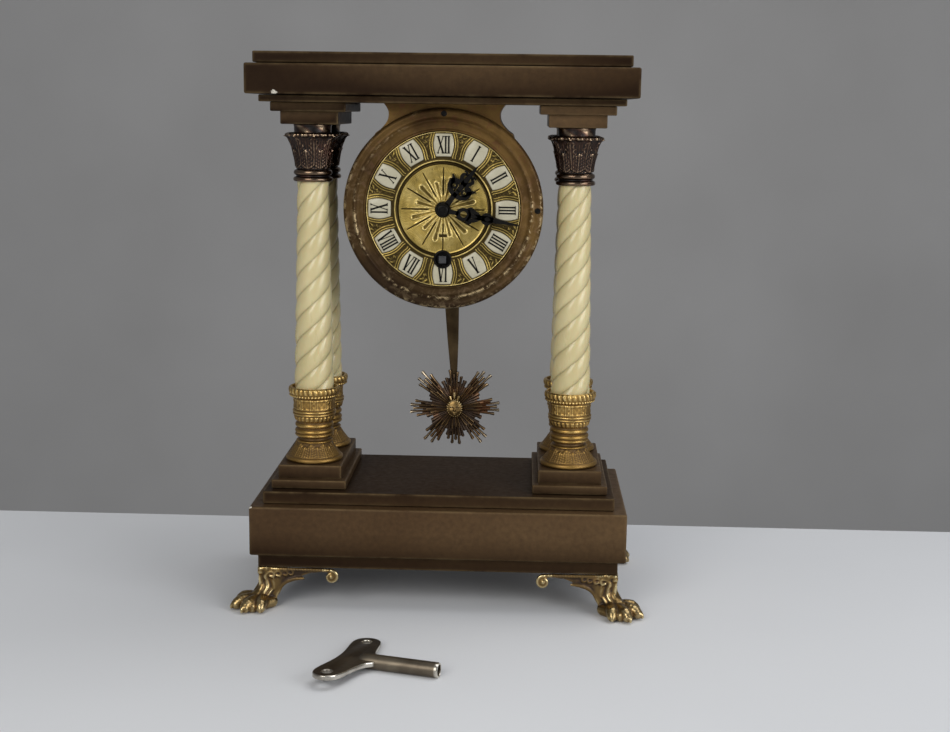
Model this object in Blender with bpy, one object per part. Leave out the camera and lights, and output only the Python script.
"""Portico mantel clock: a round drum clock hung between four twisted columns, with its winding key.

Every size below is in millimetres.  Shapes are modelled in millimetres around their own
reference point and scaled to metres when they are placed.
+Z is up, the clock faces -Y, and the standing surface is at z = 0.
"""
import math

import bmesh
import bpy
from mathutils import Matrix, Vector

MM = 0.001
GAP = 0.3                       # between touching pieces

# Base, from the standing surface upwards
BASE_HALF_W, BASE_HALF_D = 83.5, 42.5
UNDER_Z, BOX_Z, SLAB_Z, PLINTH_Z, STEP_Z, COLUMN_Z = 18.8, 25.0, 47.5, 53.3, 57.2, 63.2
UNDER_INSET, SLAB_INSET = 3.3, 5.4
PLINTH_X, PLINTH_HALF_D = (41.6, 75.0), 32.4
PLINTH_STEP_IN = 2.5
PLINTH_STEP_IN_Y = 3.8

# Entablature, from the column tops upwards
HEADER_Z, HEADER_STEP_Z, SOFFIT_Z, BAND_Z, CORNICE_Z, TOP_Z = 214.2, 219.7, 223.7, 226.9, 240.0, 244.7
HEADER_X, HEADER_HALF_D = (41.8, 74.5), 28.9
HEADER_STEP_IN = 3.75
BAND_HALF_W, BAND_HALF_D = 83.4, 41.3
SOFFIT_INSET, CORNICE_INSET = 5.2, 3.2
BAND_CORNER_R = 1.6
BOARD_BEVEL = 0.5

# Columns
COLUMN_X, COLUMN_Y = 58.0, 15.0
COLUMN_SEGMENTS = 14
ROD_R, ROD_BORE_R = 1.6, 2.1
BASE_TOP_Z, SHAFT_TOP_Z = 97.0, 189.0
SHAFT_BOTTOM_R, SHAFT_TOP_R = 8.9, 7.0
ROD_SEGMENTS = 8

# Feet
FOOT_TOP_Z = UNDER_Z - GAP
FOOT_CORNER = (BASE_HALF_W - UNDER_INSET + 0.6, BASE_HALF_D - UNDER_INSET + 0.6)
FOOT_ARM, FOOT_ARM_THICK = 33.4, 3.6
SCROLL_R = 2.9

# Drum and dial, about the dial's centre
CENTRE_Z = 178.0
RING_FRONT_Y, RING_BACK_Y, DRUM_BACK_Y = -20.5, -15.0, 20.0
RING_R, DRUM_R, DRUM_INNER_R = 44.0, 42.7, 41.2
RING_HOLE_R, DIAL_R = 34.2, 37.2
DIAL_Y = (-19.2, -18.4)
LIP_BACK_Y = -19.5
DRUM_SEGMENTS = 36
NECK_Y = (-17.2, 12.0)
NECK_TOP_HALF_W, NECK_WAIST_HALF_W, NECK_FLARE_HALF_W = 26.5, 24.4, 31.6
NOTCH_HALF_W, NOTCH_Y = 11.5, 11.0
COVER_THICK = 1.0

# Plates of the movement
FRONT_PLATE_Y, BACK_PLATE_Y = (-11.2, -10.0), (8.6, 9.8)
FRONT_PLATE_R, BACK_PLATE_R = 40.8, 36.0
PILLARS = ((-27.0, -18.0), (27.0, -18.0), (0.0, 33.0))
PILLAR_R = 2.0

# Train: every wheel and pinion pair shares one module, and its arbors stand at the pitch distance
BARREL_TEETH, CENTRE_LEAVES, BARREL_MODULE = 64, 16, 0.55
TRAIN_TEETH, TRAIN_LEAVES = 72, 6
CENTRE_MODULE, THIRD_MODULE = 0.36, 0.30
ESCAPE_TEETH, ESCAPE_R = 36, 7.5
MOTION_MODULE = 0.46
CANNON_LEAVES, MINUTE_TEETH, MINUTE_LEAVES, HOUR_TEETH = 10, 30, 8, 32
ESCAPE_RISE, ANCHOR_RISE = 14.5, 25.1

# Motion of the pendulum, drawn partway through its swing: degrees about +Y from plumb
PENDULUM_LEAN = -2.2
PENDULUM_Y = 15.0
BOB_Z = 82.3
BOB_Y = (12.0, 14.3)
MASK_Y = (9.2, 11.7)
# direction in degrees and reach of each bundle of rays
SUN_RAYS = ((0, 21.8), (45, 22.8), (90, 17.8), (135, 22.8),
            (180, 21.8), (230, 20.8), (270, 17.8), (310, 20.8))
SUN_VALLEY_R, RAY_HALF_W = 11.4, 3.6

# Hands, at the time they show
MINUTE_ANGLE, HOUR_ANGLE = 100.6, 38.4
MINUTE_LENGTH, HOUR_LENGTH = 34.3, 24.2

# Ratchet
RATCHET_TEETH, RATCHET_R, RATCHET_ROOT_R = 24, 6.8, 5.7
RATCHET_Y = (-13.4, -12.2)
CLICK_PIVOT = (9.5, -13.0)

# Winding key, lying on the standing surface in front of the clock
KEY_WING_HALF, KEY_LOBE_R, KEY_THICK = 27.4, 5.9, 2.0
KEY_TUBE_R, KEY_SOCKET_HALF = 3.1, 1.9
KEY_TUBE_END, KEY_TUBE_START = 39.0, 6.5
KEY_ORIGIN = (-32.0, -105.9)
KEY_TURN = -15.2


# ------------------------------------------------------------------ shape helpers, in millimetres

def to_object(bm):
    """Turn a bmesh into a scene object with outward faces."""
    bmesh.ops.recalc_face_normals(bm, faces=bm.faces)
    mesh = bpy.data.meshes.new("shape")
    bm.to_mesh(mesh)
    bm.free()
    shape = bpy.data.objects.new("shape", mesh)
    bpy.context.collection.objects.link(shape)
    return shape


def prism(outline, low, high, axis="Y"):
    """Extrude a closed outline between two stations of an axis."""
    place = {
        "X": lambda u, v, w: (w, u, v),
        "Y": lambda u, v, w: (u, w, v),
        "Z": lambda u, v, w: (u, v, w),
    }[axis]
    bm = bmesh.new()
    near = [bm.verts.new(place(u, v, low)) for u, v in outline]
    far = [bm.verts.new(place(u, v, high)) for u, v in outline]
    bm.faces.new(near)
    bm.faces.new(far)
    for i in range(len(outline)):
        j = (i + 1) % len(outline)
        bm.faces.new((near[i], near[j], far[j], far[i]))
    return to_object(bm)


def lathe(profile, segments, axis="Z", centre=(0.0, 0.0)):
    """Turn a closed profile of (radius, station) points about an axis; radius 0 makes a pole."""
    bm = bmesh.new()
    rings = []
    for radius, station in profile:
        ring = []
        for k in range(segments if radius > 0 else 1):
            angle = 2 * math.pi * (k + 0.5) / segments
            u = centre[0] + radius * math.cos(angle)
            v = centre[1] + radius * math.sin(angle)
            ring.append(bm.verts.new((u, v, station) if axis == "Z" else (u, station, v)))
        rings.append(ring)
    for a, b in zip(rings, rings[1:] + rings[:1]):
        if len(a) == len(b) == 1:
            continue
        for k in range(segments):
            n = (k + 1) % segments
            if len(a) == 1:
                bm.faces.new((a[0], b[n], b[k]))
            elif len(b) == 1:
                bm.faces.new((a[k], a[n], b[0]))
            else:
                bm.faces.new((a[k], a[n], b[n], b[k]))
    return to_object(bm)


def rod(radius, low, high, centre=(0.0, 0.0), axis="Y", segments=12):
    """A plain round bar."""
    return lathe([(0, low), (radius, low), (radius, high), (0, high)], segments, axis, centre)


def tube(inner, outer, low, high, segments=16, axis="Y", centre=(0.0, 0.0)):
    """A round pipe."""
    profile = [(inner, low), (outer, low), (outer, high), (inner, high)]
    return lathe(profile, segments, axis, centre)


def block(half_w, half_d, low, high, centre=(0.0, 0.0)):
    """A box that stands on z = low."""
    cx, cy = centre
    corners = [(cx - half_w, cy - half_d), (cx + half_w, cy - half_d),
               (cx + half_w, cy + half_d), (cx - half_w, cy + half_d)]
    return prism(corners, low, high, "Z")


def combine(target, other, operation):
    """Join another shape to the target, or cut it away, and drop the other shape."""
    modifier = target.modifiers.new("combine", 'BOOLEAN')
    modifier.operation = operation
    modifier.solver = 'EXACT'
    modifier.object = other
    bpy.context.view_layer.update()
    graph = bpy.context.evaluated_depsgraph_get()
    mesh = bpy.data.meshes.new_from_object(target.evaluated_get(graph))
    target.modifiers.clear()
    target.data = mesh
    bpy.data.objects.remove(other)
    return target


def join(target, *others):
    for other in others:
        combine(target, other, 'UNION')
    return target


def cut(target, *others):
    for other in others:
        combine(target, other, 'DIFFERENCE')
    return target


def place(shape, name, material, location=(0.0, 0.0, 0.0), turn=None, bevel=0.0, smooth=False):
    """Name a finished shape, scale it to metres and put it at its location."""
    shape.name = name
    shape.data.name = name
    shape.data.transform(Matrix.Scale(MM, 4))
    shape.data.materials.clear()
    shape.data.materials.append(material)
    shape.location = Vector(location) * MM
    if turn:
        shape.rotation_euler = turn
    if smooth:
        shape.data.shade_smooth()
        shape.data.set_sharp_from_angle(angle=math.radians(35))
    if bevel:
        modifier = shape.modifiers.new("edges", 'BEVEL')
        modifier.width = bevel * MM
        modifier.segments = 1
        modifier.limit_method = 'ANGLE'
    return shape


def paint(name, colour, metallic, roughness):
    """A material with one Principled shader."""
    material = bpy.data.materials.new(name)
    material.use_nodes = True
    shader = material.node_tree.nodes["Principled BSDF"]
    shader.inputs["Base Color"].default_value = (*colour, 1.0)
    shader.inputs["Metallic"].default_value = metallic
    shader.inputs["Roughness"].default_value = roughness
    return material


def polar(radius, degrees):
    return radius * math.cos(math.radians(degrees)), radius * math.sin(math.radians(degrees))


# ------------------------------------------------------------------ teeth

def wheel_outline(count, module, first=0.0):
    """A driving wheel, with pointed teeth that run into the pinion's gaps."""
    pitch = 360.0 / count
    root, tip = (count / 2 - 1.15) * module, (count / 2 + 0.95) * module
    points = []
    for k in range(count):
        middle = first + k * pitch
        points += [polar(root, middle - 0.3 * pitch), polar(tip, middle), polar(root, middle + 0.3 * pitch)]
    return points


def pinion_outline(count, module, first=0.0):
    """A pinion, with narrow radial leaves."""
    pitch = 360.0 / count
    root, tip = (count / 2 - 1.1) * module, (count / 2 + 0.5) * module
    points = []
    for k in range(count):
        middle = first + k * pitch
        points += [polar(root, middle - 0.16 * pitch), polar(tip, middle - 0.11 * pitch)]
        points += [polar(tip, middle + 0.11 * pitch), polar(root, middle + 0.16 * pitch)]
    return points


def wheel(count, module, own, other, low, high):
    """A wheel with a tooth on the line to the arbor that it meshes with."""
    return prism(wheel_outline(count, module, bearing(own, other)), low, high)


def pinion(count, module, driver, own, low, high):
    """A pinion with a gap on the line to the arbor of the wheel that it meshes with."""
    return prism(pinion_outline(count, module, bearing(own, driver) + 180.0 / count), low, high)


def saw_outline(count, root, tip, lean, first=0.0):
    """Pointed teeth that lean one way, as on a ratchet or an escape wheel."""
    pitch = 360.0 / count
    points = []
    for k in range(count):
        points += [polar(root, first + k * pitch), polar(tip, first + (k + lean) * pitch)]
    return points


def bearing(start, end):
    """Direction from one arbor to another, in degrees."""
    return math.degrees(math.atan2(end[1] - start[1], end[0] - start[0]))


# ------------------------------------------------------------------ arbor positions (x, z) from the centre

CENTRE = (0.0, 0.0)
BARREL_DISTANCE = BARREL_MODULE * (BARREL_TEETH + CENTRE_LEAVES) / 2
THIRD_DISTANCE = CENTRE_MODULE * (TRAIN_TEETH + TRAIN_LEAVES) / 2
ESCAPE_DISTANCE = THIRD_MODULE * (TRAIN_TEETH + TRAIN_LEAVES) / 2
MINUTE_DISTANCE = MOTION_MODULE * (CANNON_LEAVES + MINUTE_TEETH) / 2
BARREL = (0.0, -BARREL_DISTANCE)
ESCAPE = (0.0, ESCAPE_RISE)
ANCHOR = (0.0, ANCHOR_RISE)
MINUTE = (-MINUTE_DISTANCE, 0.0)
THIRD_RISE = (THIRD_DISTANCE ** 2 - ESCAPE_DISTANCE ** 2 + ESCAPE_RISE ** 2) / (2 * ESCAPE_RISE)
THIRD = (math.sqrt(THIRD_DISTANCE ** 2 - THIRD_RISE ** 2), THIRD_RISE)


def at_arbor(arbor, y=0.0):
    """World place of a point on an arbor."""
    return arbor[0], y, CENTRE_Z + arbor[1]


# ------------------------------------------------------------------ case

def rounded_board(half_w, half_d, low, high, corner):
    """A board with rounded vertical corners."""
    outline = []
    for index, (sx, sy) in enumerate(((1, 1), (-1, 1), (-1, -1), (1, -1))):
        for step in range(4):
            u, v = polar(corner, index * 90 + step * 30)
            outline.append((sx * (half_w - corner) + u, sy * (half_d - corner) + v))
    return prism(outline, low, high, "Z")


def build_base(paints):
    inset_w, inset_d = BASE_HALF_W - UNDER_INSET, BASE_HALF_D - UNDER_INSET
    place(block(inset_w, inset_d, UNDER_Z, BOX_Z - GAP),
          "base_under_board", paints["bronze"], bevel=BOARD_BEVEL)
    place(rounded_board(BASE_HALF_W, BASE_HALF_D, BOX_Z, SLAB_Z - GAP, BAND_CORNER_R),
          "base_box", paints["bronze"], bevel=BOARD_BEVEL)
    inset_w, inset_d = BASE_HALF_W - SLAB_INSET, BASE_HALF_D - SLAB_INSET
    place(block(inset_w, inset_d, SLAB_Z, PLINTH_Z - GAP),
          "base_top_slab", paints["bronze"], bevel=BOARD_BEVEL)


def stepped_block(x_range, half_d, step_in, step_in_y, wide, narrow):
    """Two tiers as one block; wide and narrow are the tiers' (low, high) stations."""
    middle = (x_range[0] + x_range[1]) / 2
    half_w = (x_range[1] - x_range[0]) / 2
    tier = block(half_w, half_d, *wide, centre=(middle, 0.0))
    upper = block(half_w - step_in, half_d - step_in_y, *narrow, centre=(middle, 0.0))
    join(tier, upper)
    for y in (-COLUMN_Y, COLUMN_Y):
        low, high = min(wide[0], narrow[0]), max(wide[1], narrow[1])
        cut(tier, rod(ROD_BORE_R, low - 1, high + 1, (COLUMN_X, y), "Z", ROD_SEGMENTS))
    return tier


def mirror_x(shape):
    """Mirror a shape across x = 0 and keep its faces outward."""
    shape.data.transform(Matrix.Scale(-1, 4, (1, 0, 0)))
    shape.data.flip_normals()
    return shape


def build_blocks(paints):
    for side, name in ((-1, "left"), (1, "right")):
        plinth = stepped_block(PLINTH_X, PLINTH_HALF_D, PLINTH_STEP_IN, PLINTH_STEP_IN_Y,
                               (PLINTH_Z, STEP_Z), (STEP_Z - 1, COLUMN_Z))
        header = stepped_block(HEADER_X, HEADER_HALF_D, HEADER_STEP_IN, HEADER_STEP_IN,
                               (HEADER_STEP_Z, SOFFIT_Z - GAP), (HEADER_Z, HEADER_STEP_Z + 1))
        if side < 0:
            mirror_x(plinth)
            mirror_x(header)
        place(plinth, name + "_plinth", paints["bronze"])
        place(header, name + "_header", paints["bronze"])


def build_entablature(paints):
    place(block(BAND_HALF_W - SOFFIT_INSET, BAND_HALF_D - SOFFIT_INSET, SOFFIT_Z, BAND_Z - GAP),
          "entablature_soffit", paints["bronze"], bevel=BOARD_BEVEL)
    place(rounded_board(BAND_HALF_W, BAND_HALF_D, BAND_Z, CORNICE_Z - GAP, BAND_CORNER_R),
          "entablature_band", paints["bronze"], bevel=BOARD_BEVEL)
    place(block(BAND_HALF_W - CORNICE_INSET, BAND_HALF_D - CORNICE_INSET, CORNICE_Z, TOP_Z),
          "cornice_board", paints["bronze"], bevel=BOARD_BEVEL)


def capital_profile():
    """Bell capital with a necking cylinder above and two rings below, from the bottom up."""
    low, high = SHAFT_TOP_Z + GAP, HEADER_Z - GAP
    return [
        (ROD_BORE_R, low), (8.6, low), (8.6, low + 2.0), (7.4, low + 2.6), (8.4, low + 3.4),
        (7.2, low + 5.2), (8.8, 202.7), (10.0, 206.6), (12.1, 209.0), (11.9, 210.4), (8.3, 210.8),
        (8.3, high), (ROD_BORE_R, high),
    ]


def vase_profile():
    """Vase-shaped column base, from the foot disk up to the rim."""
    low, high = COLUMN_Z + GAP, BASE_TOP_Z - GAP
    return [
        (ROD_BORE_R, low), (12.8, low), (12.8, 65.2), (9.6, 68.0), (7.0, 73.0), (8.8, 74.6), (8.6, 80.2),
        (9.6, 84.4), (9.6, 91.8), (11.9, 93.2), (12.0, high), (ROD_BORE_R, high),
    ]


def build_columns(paints):
    for sx, side in ((-1, "left"), (1, "right")):
        for sy, end in ((-1, "front"), (1, "back")):
            tag = end + "_" + side
            spot = (sx * COLUMN_X, sy * COLUMN_Y, 0.0)
            place(lathe(vase_profile(), COLUMN_SEGMENTS),
                  "column_base_" + tag, paints["gilt"], spot, smooth=True)
            shaft = [(ROD_BORE_R, BASE_TOP_Z), (SHAFT_BOTTOM_R, BASE_TOP_Z),
                     (SHAFT_TOP_R, SHAFT_TOP_Z), (ROD_BORE_R, SHAFT_TOP_Z)]
            place(lathe(shaft, COLUMN_SEGMENTS), "column_shaft_" + tag, paints["ivory"], spot, smooth=True)
            place(lathe(capital_profile(), COLUMN_SEGMENTS),
                  "capital_" + tag, paints["dark"], spot, smooth=True)
            place(rod(ROD_R, PLINTH_Z + GAP, SOFFIT_Z - 2 * GAP, axis="Z", segments=ROD_SEGMENTS),
                  "column_rod_" + tag, paints["steel"], spot)


# ------------------------------------------------------------------ paw feet

def foot_arm(along_x):
    """One scrolled bracket arm; u runs inward from the corner and v is height."""
    top, tail = FOOT_TOP_Z, FOOT_TOP_Z - SCROLL_R
    outline = [(-1.0, top), (FOOT_ARM, top)]
    for step in range(1, 8):
        u, v = polar(SCROLL_R, 90 - step * 30)
        outline.append((FOOT_ARM + u, tail + v))
    outline += [(24.0, top - 2.4), (20.0, top - 3.9), (13.0, top - 5.2),
                (9.0, top - 8.0), (-1.0, top - 11.0)]
    if along_x:
        return prism(outline, -1.4, FOOT_ARM_THICK - 1.4, "Y")
    return prism(outline, -1.4, FOOT_ARM_THICK - 1.4, "X")


def foot_leg():
    """Leg and flat-soled paw, swept outward along the corner's diagonal."""
    # outward distance, height, half width, half depth
    stations = [
        (-3.5, FOOT_TOP_Z - 0.2, 7.6, 5.6), (-3.6, 14.0, 5.8, 4.8),
        (-2.6, 9.6, 4.9, 4.3), (-0.4, 6.4, 5.1, 4.4),
        (2.4, 3.7, 5.6, 5.4), (6.0, 3.4, 6.3, 5.0), (9.6, 2.9, 5.9, 4.3), (12.6, 1.8, 3.8, 2.7),
    ]
    around = 8
    diagonal = Vector((-1, -1, 0)).normalized()
    across = Vector((1, -1, 0)).normalized()
    centres = [diagonal * out + Vector((0, 0, height)) for out, height, _, _ in stations]
    bm = bmesh.new()
    rings = []
    for i, (_, _, half_w, half_d) in enumerate(stations):
        ahead, behind = centres[min(i + 1, len(centres) - 1)], centres[max(i - 1, 0)]
        normal = across.cross(ahead - behind).normalized()
        ring = []
        for k in range(around):
            u, v = polar(1.0, 360.0 * k / around)
            point = centres[i] + across * (u * half_w) + normal * (v * half_d)
            point.z = min(max(point.z, 0.0), FOOT_TOP_Z)
            ring.append(bm.verts.new(point))
        rings.append(ring)
    for a, b in zip(rings, rings[1:]):
        for k in range(around):
            n = (k + 1) % around
            bm.faces.new((a[k], a[n], b[n], b[k]))
    bm.faces.new(rings[0])
    bm.faces.new(rings[-1])
    return to_object(bm)


def build_feet(paints):
    for sx, side in ((-1, "left"), (1, "right")):
        for sy, end in ((-1, "front"), (1, "back")):
            foot = join(foot_leg(), foot_arm(True), foot_arm(False))
            # the foot is drawn for the corner at the lowest x and y
            if sx > 0:
                foot.data.transform(Matrix.Scale(-1, 4, (1, 0, 0)))
            if sy > 0:
                foot.data.transform(Matrix.Scale(-1, 4, (0, 1, 0)))
            if sx * sy < 0:
                foot.data.flip_normals()
            place(foot, "paw_foot_" + end + "_" + side, paints["antique"],
                  (sx * FOOT_CORNER[0], sy * FOOT_CORNER[1], 0.0), smooth=True)


# ------------------------------------------------------------------ drum, dial and hands

def build_drum(paints):
    top = SOFFIT_Z - GAP - CENTRE_Z
    neck = [(-NECK_TOP_HALF_W, top), (-NECK_WAIST_HALF_W, top - 4.5), (-NECK_WAIST_HALF_W - 1.6, top - 9.0),
            (-NECK_FLARE_HALF_W, top - 14.2), (-NECK_FLARE_HALF_W, 20.0)]
    neck = neck + [(-u, v) for u, v in reversed(neck)]
    drum = lathe([(0, RING_FRONT_Y), (RING_R - 1.2, RING_FRONT_Y), (RING_R, RING_FRONT_Y + 1.2),
                  (RING_R, RING_BACK_Y), (DRUM_R, RING_BACK_Y), (DRUM_R, DRUM_BACK_Y), (0, DRUM_BACK_Y)],
                 DRUM_SEGMENTS, "Y")
    join(drum, prism(neck, *NECK_Y))
    cut(drum, rod(DRUM_INNER_R, LIP_BACK_Y, DRUM_BACK_Y + 1, segments=DRUM_SEGMENTS),
        rod(RING_HOLE_R, RING_FRONT_Y - 1, LIP_BACK_Y + 1, segments=DRUM_SEGMENTS))
    # the ring keeps two small holes that took the bezel's hinge and catch
    for hole in ((0.0, 41.6), (41.6, 0.0)):
        cut(drum, rod(0.8, RING_FRONT_Y - 1, RING_FRONT_Y + 4, hole, segments=6))
    slot = [(-NOTCH_HALF_W, -DRUM_R - 2), (NOTCH_HALF_W, -DRUM_R - 2),
            (NOTCH_HALF_W, -DRUM_INNER_R + 3), (-NOTCH_HALF_W, -DRUM_INNER_R + 3)]
    cut(drum, prism(slot, NOTCH_Y, DRUM_BACK_Y + 1))
    place(drum, "drum_case", paints["bronze_gold"], at_arbor(CENTRE), smooth=True)

    cover = rod(DRUM_R - 0.2, DRUM_BACK_Y + GAP, DRUM_BACK_Y + GAP + COVER_THICK, segments=DRUM_SEGMENTS)
    slot = [(u, v - 1) for u, v in slot[:2]] + slot[2:]
    cut(cover, prism(slot, DRUM_BACK_Y - 1, DRUM_BACK_Y + 3))
    place(cover, "drum_back_cover", paints["bronze_gold"], at_arbor(CENTRE), smooth=True)


def build_dial(paints):
    dial = tube(3.1, DIAL_R, *DIAL_Y, segments=DRUM_SEGMENTS)
    cut(dial, rod(3.7, DIAL_Y[0] - 1, DIAL_Y[1] + 1, BARREL, segments=16))
    place(dial, "dial_plate", paints["gilt"], at_arbor(CENTRE), smooth=True)


def hand(length, hub_r, hole_r, low, high, degrees):
    """A hand that points up before it is turned clockwise by degrees."""
    outline = [(-1.0, 0.0), (-0.9, 6.0), (-2.2, 9.0), (-1.9, 12.0), (-0.7, 0.5 * length),
               (-1.3, 0.62 * length), (-0.5, 0.72 * length), (0.0, length)]
    outline += [(-u, v) for u, v in reversed(outline[:-1])]
    shape = join(prism(outline, low, high), rod(hub_r, low, high, segments=16))
    cut(shape, rod(hole_r, low - 1, high + 1, segments=16))
    shape.data.transform(Matrix.Rotation(math.radians(degrees), 4, 'Y'))
    return shape


def build_hands(paints):
    place(hand(HOUR_LENGTH, 4.2, 2.8, -22.3, -21.7, HOUR_ANGLE),
          "hour_hand", paints["black"], at_arbor(CENTRE))
    place(hand(MINUTE_LENGTH, 3.4, 2.05, -24.2, -23.7, MINUTE_ANGLE),
          "minute_hand", paints["black"], at_arbor(CENTRE))
    nut = tube(1.3, 2.8, -25.4, -24.5, segments=12)
    place(nut, "hand_nut", paints["black"], at_arbor(CENTRE))


# ------------------------------------------------------------------ movement

def pivot_holes(low, high, sizes):
    """Cutters for the arbors that run in a plate."""
    return [rod(radius, low - 1, high + 1, spot, segments=8) for spot, radius in sizes]


def build_plates(paints):
    holes = ((CENTRE, 1.5), (BARREL, 2.7), (THIRD, 0.8), (ESCAPE, 0.8))
    front = rod(FRONT_PLATE_R, *FRONT_PLATE_Y, segments=32)
    cut(front, *pivot_holes(*FRONT_PLATE_Y, holes + ((ANCHOR, 0.8),)))
    # studs for the minute wheel and the click
    join(front, rod(0.6, -17.6, FRONT_PLATE_Y[0] + 0.5, MINUTE, segments=8),
         rod(0.8, -14.0, FRONT_PLATE_Y[0] + 0.5, CLICK_PIVOT, segments=8))
    place(front, "front_plate", paints["brass"], at_arbor(CENTRE))
    back = rod(BACK_PLATE_R, *BACK_PLATE_Y, segments=32)
    cut(back, *pivot_holes(*BACK_PLATE_Y, holes + ((ANCHOR, 1.6),)))
    place(back, "back_plate", paints["brass"], at_arbor(CENTRE))
    for index, spot in enumerate(PILLARS):
        pillar = rod(PILLAR_R, FRONT_PLATE_Y[1] + GAP, BACK_PLATE_Y[0] - GAP, segments=10)
        place(pillar, f"plate_pillar_{index + 1}", paints["brass"], at_arbor(spot))


def arbor(radius, pivot_r, low, high, pivot_low, pivot_high, segments=10):
    """A round arbor with a thinner pivot at each end."""
    return lathe([(0, pivot_low), (pivot_r, pivot_low), (pivot_r, low), (radius, low),
                  (radius, high), (pivot_r, high), (pivot_r, pivot_high), (0, pivot_high)], segments, "Y")


def build_train(paints):
    # the barrel drives the centre pinion from below
    barrel_r = 16.3
    barrel = wheel(BARREL_TEETH, BARREL_MODULE, BARREL, CENTRE, -8.8, -7.6)
    join(barrel, rod(barrel_r, -8.2, 3.6, segments=32))
    cut(barrel, rod(barrel_r - 1.0, -7.2, 4.0, segments=32), rod(2.8, -10, 0, segments=12))
    place(barrel, "mainspring_barrel", paints["brass"], at_arbor(BARREL))
    place(tube(2.8, barrel_r, 3.9, 4.5, segments=32), "barrel_cover", paints["brass"], at_arbor(BARREL))

    turns, steps, inner_r, outer_r, thick = 4.0, 14, 4.9, 14.8, 0.5
    total = int(turns * steps)
    spiral = []
    for edge in (0.0, thick):
        side = []
        for k in range(total + 1):
            radius = inner_r + (outer_r - inner_r) * k / total + edge - thick
            side.append(polar(radius, 360.0 * k / steps))
        spiral += side if edge == 0.0 else side[::-1]
    place(prism(spiral, -6.6, 3.0), "mainspring", paints["steel"], at_arbor(BARREL))

    winder = lathe([(0, -14.2), (2.2, -14.2), (2.2, -6.8), (3.8, -6.4),
                    (3.8, 2.6), (2.2, 3.0), (2.2, 9.6), (0, 9.6)], 12, "Y")
    half = 1.6
    join(winder, prism([(-half, -half), (half, -half), (half, half), (-half, half)], -21.0, -13.8))
    place(winder, "winding_arbor", paints["steel"], at_arbor(BARREL))

    centre = arbor(1.9, 1.0, -9.6, 8.2, -25.6, 9.6, 12)
    join(centre, pinion(CENTRE_LEAVES, BARREL_MODULE, BARREL, CENTRE, -9.4, -6.8),
         wheel(TRAIN_TEETH, CENTRE_MODULE, CENTRE, THIRD, 5.0, 6.0))
    place(centre, "centre_wheel", paints["brass"], at_arbor(CENTRE))

    third = arbor(0.55, 0.45, -9.6, 8.2, -10.8, 9.4, 8)
    join(third, pinion(TRAIN_LEAVES, CENTRE_MODULE, CENTRE, THIRD, 4.4, 6.6),
         wheel(TRAIN_TEETH, THIRD_MODULE, THIRD, ESCAPE, -3.4, -2.6))
    place(third, "third_wheel", paints["brass"], at_arbor(THIRD))

    escape = arbor(0.5, 0.42, -9.6, 8.2, -10.8, 9.4, 8)
    join(escape, pinion(TRAIN_LEAVES, THIRD_MODULE, THIRD, ESCAPE, -4.2, -1.8),
         prism(saw_outline(ESCAPE_TEETH, ESCAPE_R - 1.2, ESCAPE_R, 0.35), 1.0, 1.8))
    place(escape, "escape_wheel", paints["brass"], at_arbor(ESCAPE))


def build_motion_work(paints):
    cannon = join(rod(1.75, -24.3, -12.0, segments=16),
                  pinion(CANNON_LEAVES, MOTION_MODULE, MINUTE, CENTRE, -14.4, -12.2))
    cut(cannon, rod(1.3, -26, -11, segments=16))
    place(cannon, "cannon_pinion", paints["steel"], at_arbor(CENTRE))

    minute = join(wheel(MINUTE_TEETH, MOTION_MODULE, MINUTE, CENTRE, -13.8, -12.8),
                  pinion(MINUTE_LEAVES, MOTION_MODULE, CENTRE, MINUTE, -17.0, -13.4))
    cut(minute, rod(0.85, -18, -12, segments=8))
    place(minute, "minute_wheel", paints["brass"], at_arbor(MINUTE))

    hour = join(rod(2.5, -22.6, -15.6, segments=16),
                wheel(HOUR_TEETH, MOTION_MODULE, CENTRE, MINUTE, -16.8, -15.6))
    cut(hour, rod(2.1, -24, -15, segments=16))
    place(hour, "hour_wheel", paints["brass"], at_arbor(CENTRE))


def build_ratchet(paints):
    ratchet = prism(saw_outline(RATCHET_TEETH, RATCHET_ROOT_R, RATCHET_R, 0.0), *RATCHET_Y)
    cut(ratchet, rod(2.6, RATCHET_Y[0] - 1, RATCHET_Y[1] + 1, segments=12))
    place(ratchet, "ratchet_wheel", paints["steel"], at_arbor(BARREL))
    # the click's nose rests in the tooth gap just right of the wheel's top
    click = [(2.6, -0.4), (2.2, 1.8), (-0.6, 2.3), (-5.6, 1.2), (-9.2, -0.6), (-9.2, -2.7), (-7.9, -1.8),
             (-4.6, -1.4), (0.2, -2.2)]
    click = cut(prism(click, *RATCHET_Y), rod(1.1, RATCHET_Y[0] - 1, RATCHET_Y[1] + 1, segments=10))
    place(click, "click", paints["steel"], at_arbor(CLICK_PIVOT))


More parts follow.
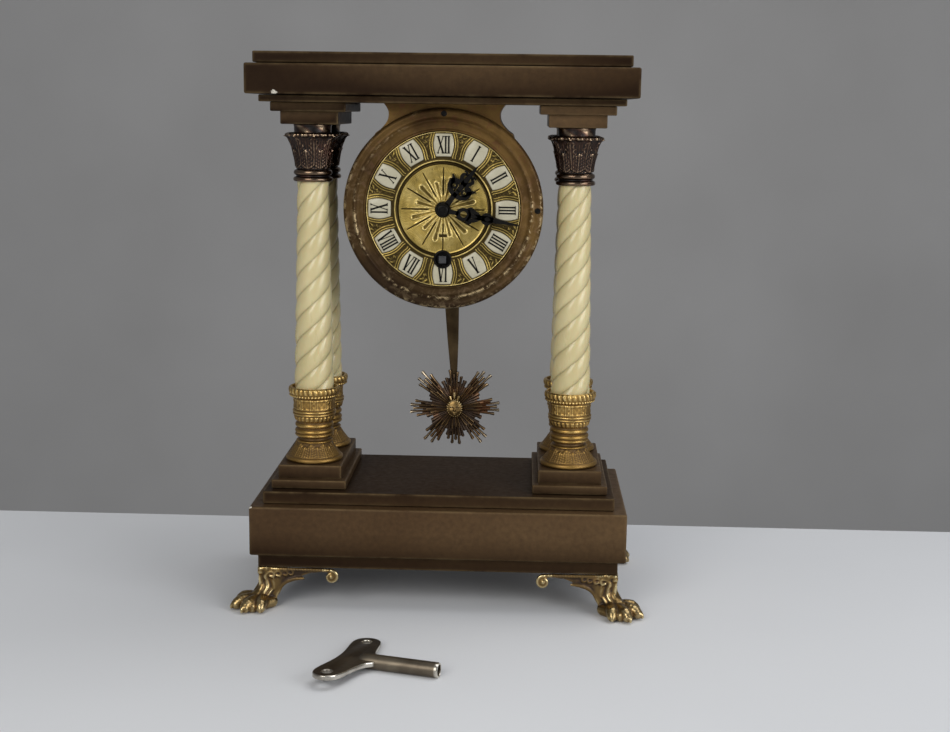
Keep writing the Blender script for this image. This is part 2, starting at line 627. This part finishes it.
def build_pendulum(paints):
    lean = (0.0, math.radians(PENDULUM_LEAN), 0.0)
    # anchor with its crutch, which forks round the pendulum rod
    anchor = arbor(0.8, 0.5, -9.6, 12.9, -10.8, 13.1, 8)
    arms = [(-7.4, -3.3), (-6.6, -4.1), (-4.6, -1.4), (0.0, -0.4), (4.6, -1.4), (6.6, -4.1), (7.4, -3.3),
            (5.2, 0.6), (0.0, 1.8), (-5.2, 0.6)]
    drop = -30.0
    crutch = [(-1.1, 1.2), (1.1, 1.2), (1.1, drop + 3), (4.6, drop + 3),
              (4.6, drop), (-4.6, drop), (-4.6, drop + 3), (-1.1, drop + 3)]
    tine = [(3.6, drop), (4.6, drop), (4.6, drop + 3), (3.6, drop + 3)]
    join(anchor, prism(arms, 0.7, 2.1), prism(crutch, 12.0, 12.8), prism(tine, 12.4, 16.8),
         prism([(-u, v) for u, v in tine], 12.4, 16.8))
    place(anchor, "anchor_and_crutch", paints["steel"], at_arbor(ANCHOR), lean)

    cock = join(prism([(-6, 3.2), (6, 3.2), (6, 9.6), (-6, 9.6)], BACK_PLATE_Y[1] + GAP, 11.3),
                prism([(-3, 3.2), (3, 3.2), (3, 7.0), (-3, 7.0)], 11.0, 17.6))
    cut(cock, prism([(-0.9, 2.0), (0.9, 2.0), (0.9, 6.2), (-0.9, 6.2)], 12.6, 18.6))
    place(cock, "suspension_cock", paints["brass"], at_arbor(ANCHOR))
    spring = prism([(-0.12, 5.0), (0.12, 5.0), (0.12, -6.7), (-0.12, -6.7)], 13.4, 16.6)
    place(spring, "suspension_spring", paints["steel"], at_arbor(ANCHOR), lean)

    # flat rod: parallel under the suspension, then tapering to the bob
    bob = BOB_Z - (CENTRE_Z + ANCHOR_RISE)
    side = [(2.4, -7.0), (3.2, -14.0), (3.2, -74.0), (1.6, -104.0), (1.4, bob - 4.0)]
    place(prism(side + [(-u, v) for u, v in reversed(side)], PENDULUM_Y - 0.4, PENDULUM_Y + 0.4),
          "pendulum_rod", paints["brass"], at_arbor(ANCHOR), lean)

    # sunburst of eight straight-sided ray bundles, each with its own reach
    star = []
    for degrees, reach in SUN_RAYS:
        for along, aside in ((reach - 1.4, -RAY_HALF_W), (reach, 0.0), (reach - 1.4, RAY_HALF_W)):
            radius = math.hypot(along, aside)
            star.append(polar(radius, degrees + math.degrees(math.atan2(aside, along))))
        star.append(polar(SUN_VALLEY_R, degrees + 22.5))
    star = [(u, v + bob) for u, v in star]
    place(prism(star, *BOB_Y), "sunburst_bob", paints["antique"], at_arbor(ANCHOR), lean)
    front, back = MASK_Y
    face = lathe([(0, front), (2.4, front + 0.4), (3.9, back - 0.8), (4.1, back), (0, back)],
                 14, "Y", (0.0, bob))
    place(face, "sun_mask", paints["gilt"], at_arbor(ANCHOR), lean, smooth=True)


# ------------------------------------------------------------------ winding key

def key_outline():
    """Two round lobes joined by a waist that widens into the tube's root."""
    lobe = KEY_WING_HALF - KEY_LOBE_R
    outline = [(-3.7, 0.0), (-4.6, 10.0)]
    for step in range(7):
        u, v = polar(KEY_LOBE_R, 180 - step * 30)
        outline.append((u, lobe + v))
    outline += [(7.2, 16.0), (8.5, 10.5), (10.6, 5.4), (13.0, 3.0)]
    return outline + [(u, -v) for u, v in reversed(outline[1:])]


def build_key(paints):
    key = prism(key_outline(), -KEY_THICK / 2, KEY_THICK / 2, "Z")
    start, end = KEY_TUBE_START, KEY_TUBE_END
    stem = lathe([(0, start), (KEY_TUBE_R * 0.8, start), (KEY_TUBE_R, start + 1.5),
                  (KEY_TUBE_R, end), (0, end)], 16)
    stem.data.transform(Matrix.Rotation(math.pi / 2, 4, 'Y'))
    join(key, stem)
    half = KEY_SOCKET_HALF
    socket = [(-half, -half), (half, -half), (half, half), (-half, half)]
    cut(key, prism(socket, end - 12, end + 1, "X"))
    for side in (-1, 1):
        hole = lathe([(0, -2), (1.8, -2), (1.8, 2), (0, 2)], 10, "Z")
        hole.data.transform(Matrix.Diagonal((1.0, 1.5, 1.0, 1.0)))
        hole.data.transform(Matrix.Translation((0.0, side * (KEY_WING_HALF - KEY_LOBE_R), 0.0)))
        cut(key, hole)
    # the tube and the edge of the far lobe rest on the surface
    lean = -math.asin((KEY_TUBE_R - KEY_THICK / 2) / KEY_WING_HALF)
    place(key, "winding_key", paints["nickel"], (*KEY_ORIGIN, KEY_TUBE_R + 0.02),
          turn=(lean, 0.0, math.radians(KEY_TURN)), smooth=True)


def main():
    for old in list(bpy.data.objects):
        bpy.data.objects.remove(old)
    paints = {
        "bronze": paint("bronze_paint", (0.075, 0.048, 0.028), 0.35, 0.42),
        "bronze_gold": paint("drum_paint", (0.14, 0.09, 0.045), 0.5, 0.42),
        "ivory": paint("ivory_composition", (0.62, 0.56, 0.36), 0.0, 0.35),
        "dark": paint("dark_bronze", (0.06, 0.04, 0.03), 0.8, 0.3),
        "gilt": paint("gilt", (0.5, 0.33, 0.1), 1.0, 0.35),
        "antique": paint("antique_brass", (0.42, 0.3, 0.13), 1.0, 0.35),
        "brass": paint("movement_brass", (0.62, 0.45, 0.18), 1.0, 0.3),
        "steel": paint("steel", (0.35, 0.35, 0.36), 1.0, 0.35),
        "nickel": paint("nickel", (0.3, 0.28, 0.24), 1.0, 0.3),
        "black": paint("black_lacquer", (0.01, 0.01, 0.01), 0.0, 0.35),
    }
    build_base(paints)
    build_blocks(paints)
    build_entablature(paints)
    build_columns(paints)
    build_feet(paints)
    build_drum(paints)
    build_dial(paints)
    build_hands(paints)
    build_plates(paints)
    build_train(paints)
    build_motion_work(paints)
    build_ratchet(paints)
    build_pendulum(paints)
    build_key(paints)


main()
